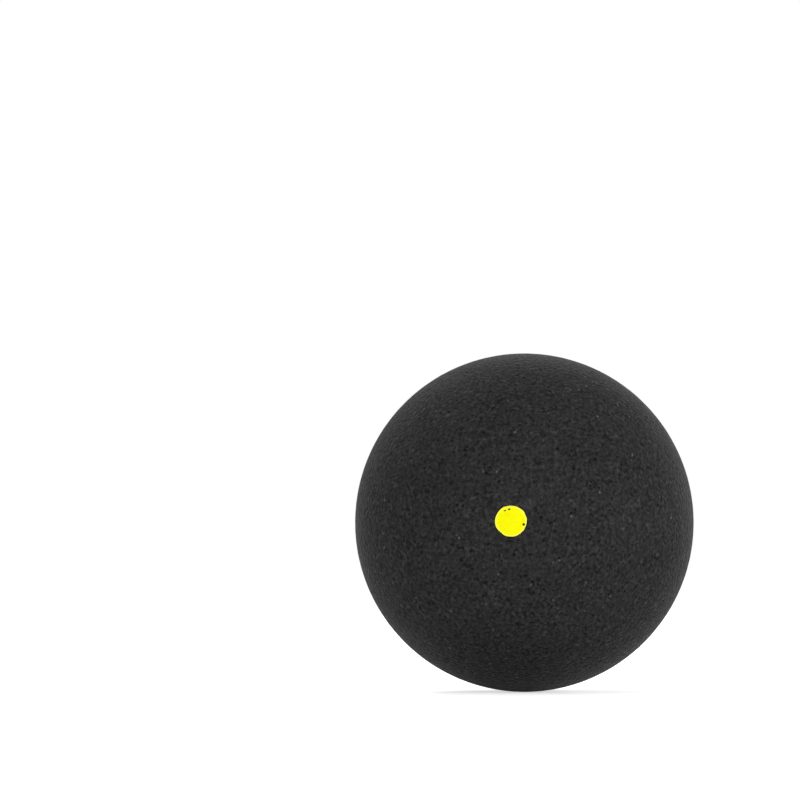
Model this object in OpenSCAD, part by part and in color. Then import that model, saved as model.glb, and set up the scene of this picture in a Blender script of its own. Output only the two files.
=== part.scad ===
// Squash ball: two rubber half shells cemented together, with a printed speed dot and a printed ornament.
// The origin is the centre of the ball. The dot faces -Y, the ornament faces +Y and the seam lies in the XZ plane.

/* [Ball] */
// Outside diameter of the finished ball
ball_d = 40; // [36:0.5:60]
// Thickness of the rubber wall
wall = 5; // [3:0.25:8]

/* [Seam] */
// Thickness of the cured cement between the two rims
cement_t = 0.2; // [0.1:0.05:0.5]
// Width of the cement bead inside the ball, across the seam
bead_w = 1.6; // [0.8:0.1:3]
// How far the cement bead stands in from the wall
bead_h = 0.5; // [0.2:0.05:1]

/* [Speed dot] */
// Diameter of the speed dot
dot_d = 3.6; // [2:0.1:8]
// Thickness of the dot's ink film
dot_ink_t = 0.05; // [0.03:0.01:0.1]

/* [Ornament] */
// Thickness of the ornament's ink film
print_ink_t = 0.05; // [0.03:0.01:0.1]
// Lozenges on each side of the middle one
lozenge_pairs = 3; // [1:1:3]
// Width of the middle lozenge
lozenge_w = 5.4; // [3:0.1:6.4]
// Height of the middle lozenge
lozenge_h = 6; // [3:0.1:10]
// Size of each lozenge as a share of the one before it, towards the ends
lozenge_share = 0.8; // [0.6:0.05:0.9]
// Gap between neighbouring lozenges
lozenge_gap = 0.6; // [0.3:0.1:1]
// Length of the rules above and below the lozenges
rule_l = 30; // [16:0.5:32]
// Height of a rule at its middle
rule_mid_t = 0.7; // [0.4:0.05:1.5]
// Height of a rule at its ends
rule_end_t = 0.25; // [0.15:0.05:0.4]
// Gap between a rule and the tips of the middle lozenge
rule_gap = 0.7; // [0.3:0.1:2]

/* [Hidden] */
$fn = 200;

overrun = 1;
inner_d = ball_d - 2 * wall;
block = ball_d + 2 * overrun;

// The bead's section is an arc as wide as bead_w where it meets the wall and bead_h high.
bead_r = (bead_w * bead_w / 4 + bead_h * bead_h) / (2 * bead_h);
bead_centre_r = inner_d / 2 - bead_h + bead_r;

rule_z = lozenge_h / 2 + rule_gap + rule_mid_t / 2;

function lozenge_width(i) = lozenge_w * pow(lozenge_share, i);
function lozenge_x(i) = i == 0
    ? 0
    : lozenge_x(i - 1) + (lozenge_width(i - 1) + lozenge_width(i)) / 2 + lozenge_gap;

module hollow_sphere(outer_d, inner_d) {
    difference() {
        sphere(d = outer_d);
        sphere(d = inner_d);
    }
}

// One half of the wall, on the side of +Y or -Y, cut back by half of the cement.
module half_shell(side) {
    intersection() {
        hollow_sphere(ball_d, inner_d);
        translate([0, side * (cement_t + block) / 2, 0])
            cube(block, center = true);
    }
}

module dot_side_half_shell() {
    color([0.18, 0.18, 0.18])
        half_shell(-1);
}

module print_side_half_shell() {
    color([0.18, 0.18, 0.18])
        half_shell(1);
}

// Half of the cement's section, with the ball's axis as its upright: the layer between the rims, flush with the
// outside, and the bead squeezed into the ball.
module cement_section() {
    layer_in = (inner_d - bead_h) / 2;
    translate([layer_in, -cement_t / 2])
        square([ball_d / 2 - layer_in, cement_t]);
    intersection() {
        circle(d = inner_d);
        translate([bead_centre_r, 0])
            circle(r = bead_r);
    }
}

module seam_cement() {
    color([0.12, 0.12, 0.12])
        rotate([90, 0, 0])
            rotate_extrude()
                cement_section();
}

module yellow_dot() {
    color([0.99, 0.98, 0.07])
        intersection() {
            hollow_sphere(ball_d + 2 * dot_ink_t, ball_d);
            rotate([90, 0, 0])
                cylinder(d = dot_d, h = block);
        }
}

module lozenge(w, h) {
    polygon([[w / 2, 0], [0, h / 2], [-w / 2, 0], [0, -h / 2]]);
}

// A rule that is thickest at its middle and thins towards both ends.
module swelled_rule() {
    polygon([
        [rule_l / 2, -rule_end_t / 2],
        [rule_l / 2, rule_end_t / 2],
        [0, rule_mid_t / 2],
        [-rule_l / 2, rule_end_t / 2],
        [-rule_l / 2, -rule_end_t / 2],
        [0, -rule_mid_t / 2]
    ]);
}

module ornament() {
    lozenge(lozenge_w, lozenge_h);
    for (side = [-1, 1]) {
        for (i = [1:lozenge_pairs])
            translate([side * lozenge_x(i), 0])
                lozenge(lozenge_width(i), lozenge_h * pow(lozenge_share, i));
        translate([0, side * rule_z])
            swelled_rule();
    }
}

module white_print() {
    color([0.98, 0.98, 0.98])
        intersection() {
            hollow_sphere(ball_d + 2 * print_ink_t, ball_d);
            rotate([90, 0, 180])
                linear_extrude(block)
                    ornament();
        }
}

dot_side_half_shell();
print_side_half_shell();
seam_cement();
yellow_dot();
white_print();
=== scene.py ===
import math

import bmesh
import bpy
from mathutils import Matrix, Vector


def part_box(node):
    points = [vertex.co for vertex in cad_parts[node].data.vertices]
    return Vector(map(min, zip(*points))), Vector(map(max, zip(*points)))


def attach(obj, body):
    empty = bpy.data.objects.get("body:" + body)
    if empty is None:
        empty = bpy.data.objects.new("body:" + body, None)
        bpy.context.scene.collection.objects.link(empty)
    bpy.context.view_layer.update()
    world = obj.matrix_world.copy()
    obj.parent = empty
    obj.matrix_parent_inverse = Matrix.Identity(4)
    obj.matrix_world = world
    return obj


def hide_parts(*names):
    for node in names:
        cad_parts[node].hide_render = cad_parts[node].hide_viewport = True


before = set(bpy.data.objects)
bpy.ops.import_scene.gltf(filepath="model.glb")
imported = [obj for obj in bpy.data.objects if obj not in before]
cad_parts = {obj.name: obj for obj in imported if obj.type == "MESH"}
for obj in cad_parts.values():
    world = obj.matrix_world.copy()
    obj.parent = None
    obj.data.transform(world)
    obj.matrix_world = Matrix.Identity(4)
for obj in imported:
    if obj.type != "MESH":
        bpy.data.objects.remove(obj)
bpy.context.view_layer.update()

mm = 0.001
upright = (math.pi / 2, 0, 0)               # turns a flat primitive to face along the ball's axis
smoothAngle = 40                            # degrees between faces, past which an edge stays sharp

# sizes that the frame gives
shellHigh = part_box("dot_side_half_shell")[1]
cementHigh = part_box("seam_cement")[1]
dotLow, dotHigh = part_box("yellow_dot")
printLow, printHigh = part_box("white_print")
ballR = shellHigh.x
halfSeam = -shellHigh.y
cavityR = min(v.co.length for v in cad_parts["dot_side_half_shell"].data.vertices)
inkT = -dotLow.y - ballR
print("frame: ball radius", round(ballR / mm, 3), "cavity", round(cavityR / mm, 3),
      "half seam", round(halfSeam / mm, 3))


# handling

def startPiece(name):                       # the primitive just added, alone and named
    piece = bpy.context.active_object
    piece.name = name
    piece.data.name = name
    bpy.ops.object.transform_apply(location=True, rotation=True, scale=True)
    return piece


def only(piece):
    bpy.ops.object.select_all(action="DESELECT")
    piece.select_set(True)
    bpy.context.view_layer.objects.active = piece


def edit(piece):
    only(piece)
    bpy.ops.object.mode_set(mode="EDIT")
    bpy.ops.mesh.select_mode(type="VERT")
    bpy.ops.mesh.select_all(action="DESELECT")


def done():
    bpy.ops.object.mode_set(mode="OBJECT")


def pick(piece, test):                      # in edit mode: selects the vertices that pass
    bpy.ops.mesh.select_mode(type="VERT")
    bpy.ops.mesh.select_all(action="DESELECT")
    cage = bmesh.from_edit_mesh(piece.data)
    for vertex in cage.verts:
        vertex.select = test(vertex.co)
    cage.select_flush_mode()
    bmesh.update_edit_mesh(piece.data)


def pickLong(piece, length):                # in edit mode: selects the edges longer than that
    bpy.ops.mesh.select_mode(type="EDGE")
    bpy.ops.mesh.select_all(action="DESELECT")
    cage = bmesh.from_edit_mesh(piece.data)
    for line in cage.edges:
        if line.calc_length() > length:
            line.select_set(True)
    bmesh.update_edit_mesh(piece.data)


def extrude(move):                          # in edit mode: what is picked is drawn out by move
    bpy.ops.mesh.extrude_region_move(TRANSFORM_OT_translate={"value": move})


def copyOf(piece, name):
    double = piece.copy()
    double.data = piece.data.copy()
    double.name = name
    double.data.name = name
    bpy.context.scene.collection.objects.link(double)
    return double


def joined(pieces, name):
    bpy.ops.object.select_all(action="DESELECT")
    for piece in pieces:
        piece.select_set(True)
    bpy.context.view_layer.objects.active = pieces[0]
    bpy.ops.object.join()
    pieces[0].name = name
    pieces[0].data.name = name
    return pieces[0]


def modify(piece, kind, settings):          # adds a modifier and applies it
    only(piece)
    modifier = piece.modifiers.new(kind, kind)
    for key, value in settings.items():
        setattr(modifier, key, value)
    bpy.ops.object.modifier_apply(modifier=modifier.name)


def throwAway(piece):
    bpy.data.objects.remove(piece)


def finishPiece(piece, finish, node):
    only(piece)
    bpy.ops.object.shade_smooth_by_angle(angle=math.radians(smoothAngle))
    piece.data.materials.clear()
    piece.data.materials.append(finish)
    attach(piece, "root")
    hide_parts(node)
    print(piece.name, len(piece.data.polygons), "faces")


# node trees

noiseMiddle = 0.5                           # what a noise gives on average
mixSockets = {"first": 6, "second": 7, "out": 2}   # where the Mix node keeps its colours
spotShape = {
    "core": 0.4,                            # share of a spot's radius that is at full strength
    "strongest": 0.1,                       # draws below this give the strongest spots
}


class Signal:                               # a socket that takes part in sums
    def __init__(self, finish, socket):
        self.finish = finish
        self.socket = socket

    def maths(self, operation, first, second):
        return self.finish.add("Math", {"operation": operation}, {0: first, 1: second})

    def __add__(self, other):
        return self.maths("ADD", self, other)

    def __radd__(self, other):
        return self.maths("ADD", other, self)

    def __sub__(self, other):
        return self.maths("SUBTRACT", self, other)

    def __rsub__(self, other):
        return self.maths("SUBTRACT", other, self)

    def __mul__(self, other):
        return self.maths("MULTIPLY", self, other)

    def __rmul__(self, other):
        return self.maths("MULTIPLY", other, self)


class Finish:                               # one node tree and the method that fills it
    def __init__(self, tree):
        self.tree = tree
        self.tree.nodes.clear()

    def add(self, kind, settings, sockets, output=0):
        node = self.tree.nodes.new("ShaderNode" + kind)
        for key, value in settings.items():
            setattr(node, key, value)
        for key, value in sockets.items():
            if isinstance(value, Signal):
                self.tree.links.new(value.socket, node.inputs[key])
            else:
                node.inputs[key].default_value = value
        return Signal(self, node.outputs[output]) if len(node.outputs) else node

    def place(self):
        return self.add("TexCoord", {}, {}, "Object")

    def fromAxis(self):                     # distance from the line through the middles of both prints
        flat = self.add("VectorMath", {"operation": "MULTIPLY"}, {0: self.place(), 1: (1, 0, 1)})
        return self.add("VectorMath", {"operation": "LENGTH"}, {0: flat}, "Value")

    def noise(self, size, detail, roughness):
        return self.add("TexNoise", {}, {"Vector": self.place(), "Scale": 1 / size,
                                         "Detail": detail, "Roughness": roughness})

    def cells(self, size, output="Distance"):
        return self.add("TexVoronoi", {}, {"Vector": self.place(), "Scale": 1 / size}, output)

    def scattered(self, size, radius, faintest):   # round spots on a net, from strong to faint
        near = self.ramp(self.cells(size), radius, spotShape["core"] * radius)
        return near * self.ramp(self.cells(size, "Color"), faintest, spotShape["strongest"])

    def ramp(self, value, start, end):      # 0 before start and 1 past end, either way round
        return self.add("MapRange", {"interpolation_type": "SMOOTHSTEP"},
                        {"Value": value, "From Min": start, "From Max": end})

    def band(self, value, middle, wide):    # 1 on a thin line where value is at middle
        return self.ramp(value, middle - wide, middle) * self.ramp(value, middle + wide, middle)

    def clear(self, value):                 # kept between 0 and 1
        return self.add("MapRange", {}, {"Value": value})

    def mix(self, share, first, second):
        sockets = {0: share, mixSockets["first"]: first, mixSockets["second"]: second}
        return self.add("Mix", {"data_type": "RGBA"}, sockets, mixSockets["out"])

    def backdropRay(self):                  # 1 where the backdrop is seen, in a mirror or through glass too
        straight = self.add("LightPath", {}, {}, "Is Camera Ray")
        mirrored = self.add("LightPath", {}, {}, "Is Glossy Ray")
        through = self.add("LightPath", {}, {}, "Is Transmission Ray")
        return self.clear(straight + mirrored + through)

    def bump(self, height):
        return self.add("Bump", {}, {"Height": height, "Distance": 1.0, "Strength": 1.0})

    def surface(self, sockets):
        shader = self.add("BsdfPrincipled", {}, sockets)
        self.add("OutputMaterial", {}, {"Surface": shader})


def grey(level):
    return (level, level, level, 1)


def newFinish(name):
    material = bpy.data.materials.new(name)
    material.use_nodes = True
    return material, Finish(material.node_tree)


rubberLook = {
    "dark": 0.004,                          # linear greys: between the grains, on their worn tops, and dust
    "pale": 0.0555,
    "dust": 0.15,
    "dustMost": 0.6,                        # how far a speck of dust covers the rubber
    "grain": (0.00040, 1.2, 0.5),           # each noise: its size, detail and roughness
    "fine": (0.00020, 1.0, 0.5),
    "patch": (0.0011, 2.0, 0.6),            # patches that took the buffing more, or less
    "patchFrom": 0.35,
    "patchFull": 0.68,
    "mottle": (0.0060, 3.0, 0.6),
    "pitNet": 0.0009,
    "pitWide": 0.20,                        # radius against its net
    "pitFaintest": 0.9,                     # draws above this give none
    "dustNet": 0.0016,
    "dustWide": 0.13,
    "dustFaintest": 0.8,
    "scuff": (0.0012, 0.0, 0.5),            # how far apart the curved scuffs run
    "scuffWide": 0.04,
    "scuffSpot": (0.00096, 1.0, 0.5),       # where they show
    "scuffFrom": 0.56,                      # the higher, the rarer they are
    "scuffFull": 0.66,
    "toneMiddle": 0.503,                    # tone, from dark at 0 to pale at 1, and what adds to it
    "grainTone": 0.76,
    "patchTone": 0.88,
    "fineTone": 0.1,
    "mottleTone": 0.2,
    # how far the pits are darkened, painted shade inside them; their depth is pitDeep
    "pitPaintedShade": 0.5,
    "scuffTone": 0.38,
    "toneBend": 0.35,                       # the higher, the darker the middle tones
    "grainHigh": 0.6,                       # relief, in shares of its height
    "fineHigh": 0.05,
    "pitDeep": 0.3,
    "scuffHigh": 0.1,
    "height": 0.00028,
    "roughness": 0.78,
    "grainRoughness": 0.2,
    "specular": 0.02,
    "sheen": 0.105,
    "sheenRoughness": 0.32,
}


def makeRubber():
    look = rubberLook
    material, finish = newFinish("buffedRubber")
    grain = finish.noise(*look["grain"])
    fine = finish.noise(*look["fine"])
    patch = finish.ramp(finish.noise(*look["patch"]), look["patchFrom"], look["patchFull"])
    mottle = finish.noise(*look["mottle"])
    pitsAndPaintedShade = finish.scattered(look["pitNet"], look["pitWide"], look["pitFaintest"])
    dust = finish.scattered(look["dustNet"], look["dustWide"], look["dustFaintest"])
    scuffs = finish.band(finish.noise(*look["scuff"]), noiseMiddle, look["scuffWide"])
    scuffs = scuffs * finish.ramp(finish.noise(*look["scuffSpot"]), look["scuffFrom"], look["scuffFull"])
    relief = look["grainHigh"] * grain + look["fineHigh"] * fine - look["pitDeep"] * pitsAndPaintedShade
    relief = relief + look["scuffHigh"] * scuffs
    rough = (grain - noiseMiddle) + look["fineTone"] * (fine - noiseMiddle)
    tone = look["toneMiddle"] + (look["grainTone"] + look["patchTone"] * patch) * rough
    tone = tone + look["mottleTone"] * (mottle - noiseMiddle)
    # the pits are darkened: painted shade inside the recesses that the bump also cuts
    tone = tone - look["pitPaintedShade"] * pitsAndPaintedShade + look["scuffTone"] * scuffs
    worn = finish.clear(tone)
    bent = worn * (1 - look["toneBend"] + look["toneBend"] * worn)
    skin = finish.mix(bent, grey(look["dark"]), grey(look["pale"]))
    finish.surface({
        "Base Color": finish.mix(look["dustMost"] * dust, skin, grey(look["dust"])),
        "Roughness": look["roughness"] + look["grainRoughness"] * (noiseMiddle - grain),
        "Normal": finish.bump(relief * look["height"]),
        "Specular IOR Level": look["specular"],
        "Sheen Weight": look["sheen"],
        "Sheen Roughness": look["sheenRoughness"],
    })
    return material


cementLook = {
    "dark": 0.007,
    "pale": 0.018,
    "grain": (0.00025, 3.0, 0.6),
    "height": 0.00001,
    "roughness": 0.6,
    "grainRoughness": 0.25,
    "specular": 0.06,
}


def makeCement():
    look = cementLook
    material, finish = newFinish("curedCement")
    grain = finish.noise(*look["grain"])
    finish.surface({
        "Base Color": finish.mix(grain, grey(look["dark"]), grey(look["pale"])),
        "Roughness": look["roughness"] + look["grainRoughness"] * grain,
        "Normal": finish.bump(grain * look["height"]),
        "Specular IOR Level": look["specular"],
    })
    return material


inkLook = {                                 # what both inks share
    "grain": (0.00040, 2.0, 0.55),          # the rubber's grain shows through
    "grainThin": 0.35,
    "thinFrom": 0.50,
    "thinFull": 0.74,
    "thinMost": 0.8,
    "height": 0.000012,
    "roughness": 0.6,
    "thinRoughness": 0.2,
    "specular": 0.06,
}
yellowLook = {
    "full": (0.945, 0.925, 0.001, 1),
    "thin": (0.85, 0.78, 0.001, 1),
    "mottle": (0.0009, 4.0, 0.65),
    "rim": (0.99, 0.97, 0.08, 1),           # a painted highlight: the dot's edge is paler than its middle
    "rimFrom": 0.00150,                     # distances from the dot's middle
    "rimFull": 0.00172,
}
whiteLook = {
    "full": grey(0.90),
    "thin": grey(0.76),
    "mottle": (0.0011, 4.0, 0.65),
}


def makeInk(name, look):
    material, finish = newFinish(name)
    mottle = finish.noise(*look["mottle"])
    grain = finish.noise(*inkLook["grain"])
    worn = mottle + inkLook["grainThin"] * (grain - noiseMiddle)
    thin = finish.ramp(worn, inkLook["thinFrom"], inkLook["thinFull"])
    colour = finish.mix(thin * inkLook["thinMost"], look["full"], look["thin"])
    # the dot's edge is painted paler, a painted highlight along its rim
    if "rim" in look:
        paintedHighlight = finish.ramp(finish.fromAxis(), look["rimFrom"], look["rimFull"])
        colour = finish.mix(paintedHighlight, colour, look["rim"])
    finish.surface({
        "Base Color": colour,
        "Roughness": inkLook["roughness"] + inkLook["thinRoughness"] * thin,
        "Normal": finish.bump(grain * inkLook["height"]),
        "Specular IOR Level": inkLook["specular"],
    })
    return material


# rubber half shells

shellShape = {
    "skinLevel": 8,                         # steps of the icosphere that the outside starts from
    "cavityLevel": 6,
    "reliefSize": 0.0007,
    "reliefDetail": 2,
    "relief": 0.000024,                     # from the lowest to the highest place
    "reliefMiddle": 0.5,                    # the texture's value that stays on the sphere
    "rimDraw": 0.000022,                    # how far the rubber is worn in at the seam
    "weld": 1e-6,                           # nearer than this is one place
}

reliefCloud = bpy.data.textures.new("buffedRelief", type="CLOUDS")
reliefCloud.noise_scale = shellShape["reliefSize"]
reliefCloud.noise_depth = shellShape["reliefDetail"]


def makeHalfSphere(name, level, radius, side):
    bpy.ops.mesh.primitive_ico_sphere_add(subdivisions=level, radius=radius, rotation=upright)
    half = startPiece(name)
    edit(half)
    bpy.ops.mesh.select_all(action="SELECT")
    bpy.ops.mesh.bisect(plane_co=(0, 0, 0), plane_no=(0, side, 0), clear_inner=True,
                        threshold=shellShape["weld"])
    pick(half, lambda place: abs(place.y) < shellShape["weld"])
    bpy.ops.transform.translate(value=(0, side * halfSeam, 0))
    done()
    return half


def makeSkin(name, side):                   # the outside of a half, with its buffed relief
    skin = makeHalfSphere(name, shellShape["skinLevel"], ballR, side)
    modify(skin, "DISPLACE", {
        "texture": reliefCloud,
        "texture_coords": "LOCAL",
        "direction": "NORMAL",
        "strength": shellShape["relief"],
        "mid_level": shellShape["reliefMiddle"],
    })
    return skin


def makeHalfShell(name, skin, side):
    outside = copyOf(skin, name)
    edit(outside)
    pick(outside, lambda place: abs(place.y) < halfSeam + shellShape["weld"])
    drawn = 1 - shellShape["rimDraw"] / ballR
    bpy.ops.transform.resize(value=(drawn, 1, drawn))
    done()
    cavity = makeHalfSphere("cavityWall", shellShape["cavityLevel"], cavityR, side)
    edit(cavity)
    bpy.ops.mesh.select_all(action="SELECT")
    bpy.ops.mesh.flip_normals()
    done()
    shell = joined([outside, cavity], name)
    edit(shell)
    bpy.ops.mesh.select_mode(type="EDGE")
    bpy.ops.mesh.select_non_manifold()
    bpy.ops.mesh.bridge_edge_loops()
    done()
    return shell


rubber = makeRubber()
dotSkin = makeSkin("dotSkin", -1)
printSkin = makeSkin("printSkin", 1)
dotHalf = makeHalfShell("dotSideHalfShell", dotSkin, -1)
printHalf = makeHalfShell("printSideHalfShell", printSkin, 1)
finishPiece(dotHalf, rubber, "dot_side_half_shell")
finishPiece(printHalf, rubber, "print_side_half_shell")


# cement in the seam

seamShape = {
    "recess": 0.000034,                     # how far the layer lies under the ball's surface
    "steps": 640,
    "beadRound": 0.00042,
    "beadSteps": 6,
    "weld": 1e-7,
}


def makeSeamCement():
    shape = seamShape
    beadHalf = cementHigh.y
    layerOut = ballR - shape["recess"]
    wallAtBead = math.sqrt(cavityR ** 2 - beadHalf ** 2)
    beadIn = min(v.co.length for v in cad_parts["seam_cement"].data.vertices)
    middle = (layerOut + wallAtBead) / 2
    bpy.ops.mesh.primitive_plane_add(size=1, location=(middle, 0, 0))
    ring = bpy.context.active_object
    ring.scale = (layerOut - wallAtBead, 2 * halfSeam, 1)
    ring = startPiece("seamCement")
    edit(ring)
    pick(ring, lambda place: place.x < middle)
    extrude((beadIn - wallAtBead, 0, 0))
    for side in (-1, 1):                    # the bead spreads along the wall, both ways
        pick(ring, lambda place: place.x < middle and side * place.y > 0)
        extrude((0, side * (beadHalf - halfSeam), 0))
    bpy.ops.mesh.select_all(action="SELECT")
    bpy.ops.mesh.dissolve_faces()
    pick(ring, lambda place: place.x < beadIn + shape["weld"] and abs(place.y) > beadHalf - shape["weld"])
    bpy.ops.mesh.bevel(affect="VERTICES", offset=shape["beadRound"], segments=shape["beadSteps"])
    bpy.ops.mesh.select_all(action="SELECT")
    bpy.ops.mesh.delete(type="ONLY_FACE")
    bpy.ops.mesh.select_all(action="SELECT")
    bpy.ops.mesh.spin(steps=shape["steps"], angle=2 * math.pi, center=(0, 0, 0), axis=(0, 1, 0))
    bpy.ops.mesh.select_all(action="SELECT")
    bpy.ops.mesh.remove_doubles(threshold=shape["weld"])
    bpy.ops.mesh.select_all(action="SELECT")
    bpy.ops.mesh.normals_make_consistent(inside=False)
    done()
    return ring


seamCement = makeSeamCement()
finishPiece(seamCement, makeCement(), "seam_cement")


# printed inks

inkShape = {
    "embed": 0.00003,                       # how far a film reaches into the rubber
    "margin": 0.0006,                       # skin kept around a print while it is cut out
    "cutDepth": 0.012,                      # how far a stamp cuts into the ball
    "smoothBy": 0.5,
    "smoothTimes": 3,
}


def makeFilm(name, skin, low, high):        # a piece of the skin, thickened to an ink film
    film = copyOf(skin, name)
    margin = inkShape["margin"]
    edit(film)
    pick(film, lambda place: not (low.x - margin < place.x < high.x + margin
                                  and low.z - margin < place.z < high.z + margin))
    bpy.ops.mesh.delete(type="VERT")
    bpy.ops.mesh.select_all(action="SELECT")
    bpy.ops.mesh.vertices_smooth(factor=inkShape["smoothBy"], repeat=inkShape["smoothTimes"])
    done()
    thickness = inkT + inkShape["embed"]
    modify(film, "SOLIDIFY", {"thickness": thickness, "offset": 2 * inkT / thickness - 1})
    return film


def roughen(wander, seed, repeat):          # in edit mode: the outline wanders as wet ink does
    bpy.ops.mesh.select_all(action="SELECT")
    bpy.ops.transform.vertex_random(offset=wander, seed=seed)
    bpy.ops.mesh.vertices_smooth(factor=inkShape["smoothBy"], repeat=repeat)


def makeStamp(side):                        # in edit mode: the outline becomes a prism through the film
    bpy.ops.mesh.select_all(action="SELECT")
    bpy.ops.transform.translate(value=(0, side * (ballR - inkShape["cutDepth"] + 2 * inkT), 0))
    bpy.ops.mesh.edge_face_add()
    extrude((0, side * inkShape["cutDepth"], 0))
    bpy.ops.mesh.select_all(action="SELECT")
    bpy.ops.mesh.normals_make_consistent(inside=False)
    done()


dotShape = {
    "corners": 96,
    "wander": 0.00022,                      # how far the edge strays before it is smoothed
    "smoothTimes": 9,
    "seed": 55,
    "wide": 1.01,                           # against the node's box
    "high": 0.975,
    "pinholes": [                           # across and up, half as wide and half as high, in mm
        (-0.68, 1.19, 0.15, 0.07),
        (-0.20, 1.34, 0.15, 0.10),
        (1.46, -0.38, 0.16, 0.16),
    ],
    "pinCorners": 14,
    "pinDeep": 20,                          # against the film's thickness
}


def makeYellowDot():
    shape = dotShape
    wide = shape["wide"] * (dotHigh.x - dotLow.x)
    high = shape["high"] * (dotHigh.z - dotLow.z)
    bpy.ops.mesh.primitive_circle_add(vertices=shape["corners"], radius=wide / 2, fill_type="NOTHING",
                                      rotation=upright)
    stamp = startPiece("dotStamp")
    edit(stamp)
    roughen(shape["wander"], shape["seed"], shape["smoothTimes"])
    done()
    grown = (wide / stamp.dimensions.x, 1, high / stamp.dimensions.z)
    edit(stamp)
    bpy.ops.mesh.select_all(action="SELECT")
    bpy.ops.transform.resize(value=grown)
    makeStamp(-1)
    dot = makeFilm("yellowDot", dotSkin, dotLow, dotHigh)
    modify(dot, "BOOLEAN", {"operation": "INTERSECT", "solver": "EXACT", "object": stamp})
    pins = []
    for x, z, halfWide, halfHigh in shape["pinholes"]:
        bpy.ops.mesh.primitive_cylinder_add(vertices=shape["pinCorners"], radius=halfHigh * mm,
                                            depth=shape["pinDeep"] * inkT,
                                            location=(x * mm, -ballR, z * mm), rotation=upright,
                                            scale=(halfWide / halfHigh, 1, 1))
        pins.append(startPiece("pinhole"))
    pins = joined(pins, "pinholes")
    modify(dot, "BOOLEAN", {"operation": "DIFFERENCE", "solver": "EXACT", "object": pins})
    throwAway(stamp)
    throwAway(pins)
    return dot


ornamentShape = {
    "middleWide": 0.0054,
    "middleHigh": 0.006,
    "share": 0.8,                           # each lozenge against the one before it
    "gap": 0.0006,
    "pairs": 3,
    "corner": 0.00009,
    "cornerSteps": 3,
    "ruleLong": 0.030,
    "ruleMiddle": 0.0007,
    "ruleEnd": 0.00025,
    "ruleGap": 0.0007,
    "cuts": 14,                             # along each side of a lozenge
    "ruleCuts": 45,                         # along each half of a rule
    "wander": 0.00005,
    "smoothTimes": 1,
    "middleSeed": 1,
    "pairSeeds": 10,                        # between the seeds of one pair and the next
    "ruleSeeds": (51, 52),
    "weld": 1e-6,
}


def makeLozenge(x, wide, high, seed):
    shape = ornamentShape
    bpy.ops.mesh.primitive_circle_add(vertices=4, radius=1, fill_type="NGON", rotation=upright)
    stamp = startPiece("lozenge")
    edit(stamp)
    bpy.ops.mesh.select_all(action="SELECT")
    bpy.ops.transform.resize(value=(wide / 2, 1, high / 2))
    bpy.ops.transform.translate(value=(x, 0, 0))
    bpy.ops.mesh.bevel(affect="VERTICES", offset=shape["corner"], segments=shape["cornerSteps"])
    bpy.ops.mesh.delete(type="ONLY_FACE")
    pickLong(stamp, 2 * shape["corner"])    # the sides, not the round corners
    bpy.ops.mesh.subdivide(number_cuts=shape["cuts"])
    roughen(shape["wander"], seed, shape["smoothTimes"])
    makeStamp(1)
    return stamp


def makeRule(side, seed):
    shape = ornamentShape
    z = side * (shape["middleHigh"] / 2 + shape["ruleGap"] + shape["ruleMiddle"] / 2)
    bpy.ops.mesh.primitive_plane_add(size=1, rotation=upright)
    stamp = startPiece("rule")
    edit(stamp)
    bpy.ops.mesh.select_all(action="SELECT")
    bpy.ops.transform.resize(value=(shape["ruleLong"], 1, shape["ruleEnd"]))
    bpy.ops.mesh.delete(type="ONLY_FACE")
    pickLong(stamp, 2 * shape["ruleEnd"])
    bpy.ops.mesh.subdivide(number_cuts=1)
    pick(stamp, lambda place: abs(place.x) < shape["weld"])
    bpy.ops.transform.resize(value=(1, 1, shape["ruleMiddle"] / shape["ruleEnd"]))
    pickLong(stamp, 2 * shape["ruleEnd"] + shape["ruleMiddle"])
    bpy.ops.mesh.subdivide(number_cuts=shape["ruleCuts"])
    bpy.ops.mesh.select_all(action="SELECT")
    bpy.ops.transform.translate(value=(0, 0, z))
    roughen(shape["wander"], seed, shape["smoothTimes"])
    makeStamp(1)
    return stamp


def makeWhitePrint():
    shape = ornamentShape
    stamps = [makeLozenge(0, shape["middleWide"], shape["middleHigh"], shape["middleSeed"])]
    x = 0
    wide = shape["middleWide"]
    for i in range(1, shape["pairs"] + 1):
        size = shape["share"] ** i
        x += (wide + shape["middleWide"] * size) / 2 + shape["gap"]
        wide = shape["middleWide"] * size
        for side in (-1, 1):
            seed = shape["pairSeeds"] * i + side
            stamps.append(makeLozenge(side * x, wide, shape["middleHigh"] * size, seed))
    for side, seed in zip((1, -1), shape["ruleSeeds"]):
        stamps.append(makeRule(side, seed))
    stamp = joined(stamps, "printStamp")
    ornament = makeFilm("whitePrint", printSkin, printLow, printHigh)
    modify(ornament, "BOOLEAN", {"operation": "INTERSECT", "solver": "EXACT", "object": stamp})
    throwAway(stamp)
    return ornament


yellowDot = makeYellowDot()
finishPiece(yellowDot, makeInk("yellowInk", yellowLook), "yellow_dot")
whitePrint = makeWhitePrint()
finishPiece(whitePrint, makeInk("whiteInk", whiteLook), "white_print")
throwAway(dotSkin)
throwAway(printSkin)


# floor, light and camera

studio = {
    "floorWide": 6.0,
    "floorTone": 0.95,
    "floorGlow": 0.60,                      # what the camera sees on top of the lit floor
    "skyLight": 0.51,
    "lampFar": 0.7,
    "lampSize": 0.3,
    "lamps": [                              # degrees round from the dot and up, and watts
        (50, 12, 2.35),
        (-60, 12, 0.80),
        (150, 14, 1.09),
        (-140, 45, 1.85),
    ],
}


def direction(aside, above):                # degrees from straight in front of the dot
    aside, above = math.radians(aside), math.radians(above)
    return Vector((math.sin(aside) * math.cos(above), -math.cos(aside) * math.cos(above), math.sin(above)))


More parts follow.
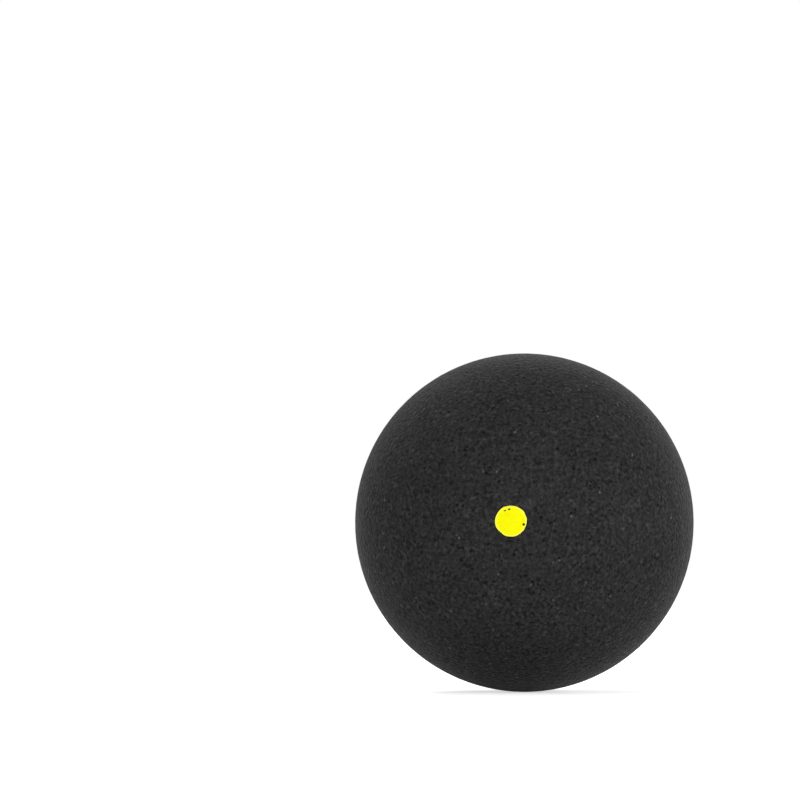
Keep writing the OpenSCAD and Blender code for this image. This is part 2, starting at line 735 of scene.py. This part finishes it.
def makeFloor():
    bpy.ops.mesh.primitive_plane_add(size=studio["floorWide"], location=(0, 0, -ballR))
    floor = startPiece("floor")
    material, finish = newFinish("paleFloor")
    lit = finish.add("BsdfDiffuse", {}, {"Color": grey(studio["floorTone"])})
    strength = finish.backdropRay() * studio["floorGlow"]
    glow = finish.add("Emission", {}, {"Color": grey(1), "Strength": strength})
    both = finish.add("AddShader", {}, {0: lit, 1: glow})
    finish.add("OutputMaterial", {}, {"Surface": both})
    floor.data.materials.append(material)


def makeLight():
    world = bpy.data.worlds.new("studio")
    bpy.context.scene.world = world
    world.use_nodes = True
    sky = Finish(world.node_tree)
    seen = sky.backdropRay()
    strength = seen + (1 - seen) * studio["skyLight"]
    back = sky.add("Background", {}, {"Color": grey(1), "Strength": strength})
    sky.add("OutputWorld", {}, {"Surface": back})
    for aside, above, watts in studio["lamps"]:
        towards = direction(aside, above)
        bpy.ops.object.light_add(type="AREA", location=studio["lampFar"] * towards)
        lamp = bpy.context.active_object
        lamp.data.size = studio["lampSize"]
        lamp.data.energy = watts
        lamp.rotation_euler = (-towards).to_track_quat("-Z", "Y").to_euler()
    print("light from the sky and", len(studio["lamps"]), "lamps")


view = {
    "frame": 800,                           # pixels across the photograph
    "ballAt": (524.2, 522.5),               # the ball's centre in it
    "ballR": 169.2,                         # and its radius there
    "lens": 200,
    "film": 36,
    "aside": 4.33,                          # degrees to the dot's right
    "above": -0.45,
    "nearest": 0.01,
}


def makeCamera():
    bpy.ops.object.camera_add()
    camera = bpy.context.active_object
    camera.data.lens = view["lens"]
    camera.data.sensor_width = view["film"]
    camera.data.clip_start = view["nearest"]
    pixels = view["lens"] / view["film"] * view["frame"]
    right = (view["ballAt"][0] - view["frame"] / 2) / pixels
    down = (view["ballAt"][1] - view["frame"] / 2) / pixels
    toBall = Vector((right, -down, -1)).normalized()
    distance = ballR / math.sin(math.atan(view["ballR"] / pixels * -toBall.z))
    place = distance * direction(view["aside"], view["above"])
    straight = (-place).to_track_quat("-Z", "Y")
    turn = toBall.rotation_difference(Vector((0, 0, -1)))
    camera.location = place
    camera.rotation_euler = (straight @ turn).to_euler()
    bpy.context.scene.camera = camera
    print("camera at", round(distance, 4), "m")


makeFloor()
makeLight()
makeCamera()
bpy.context.scene.view_settings.view_transform = "Standard"
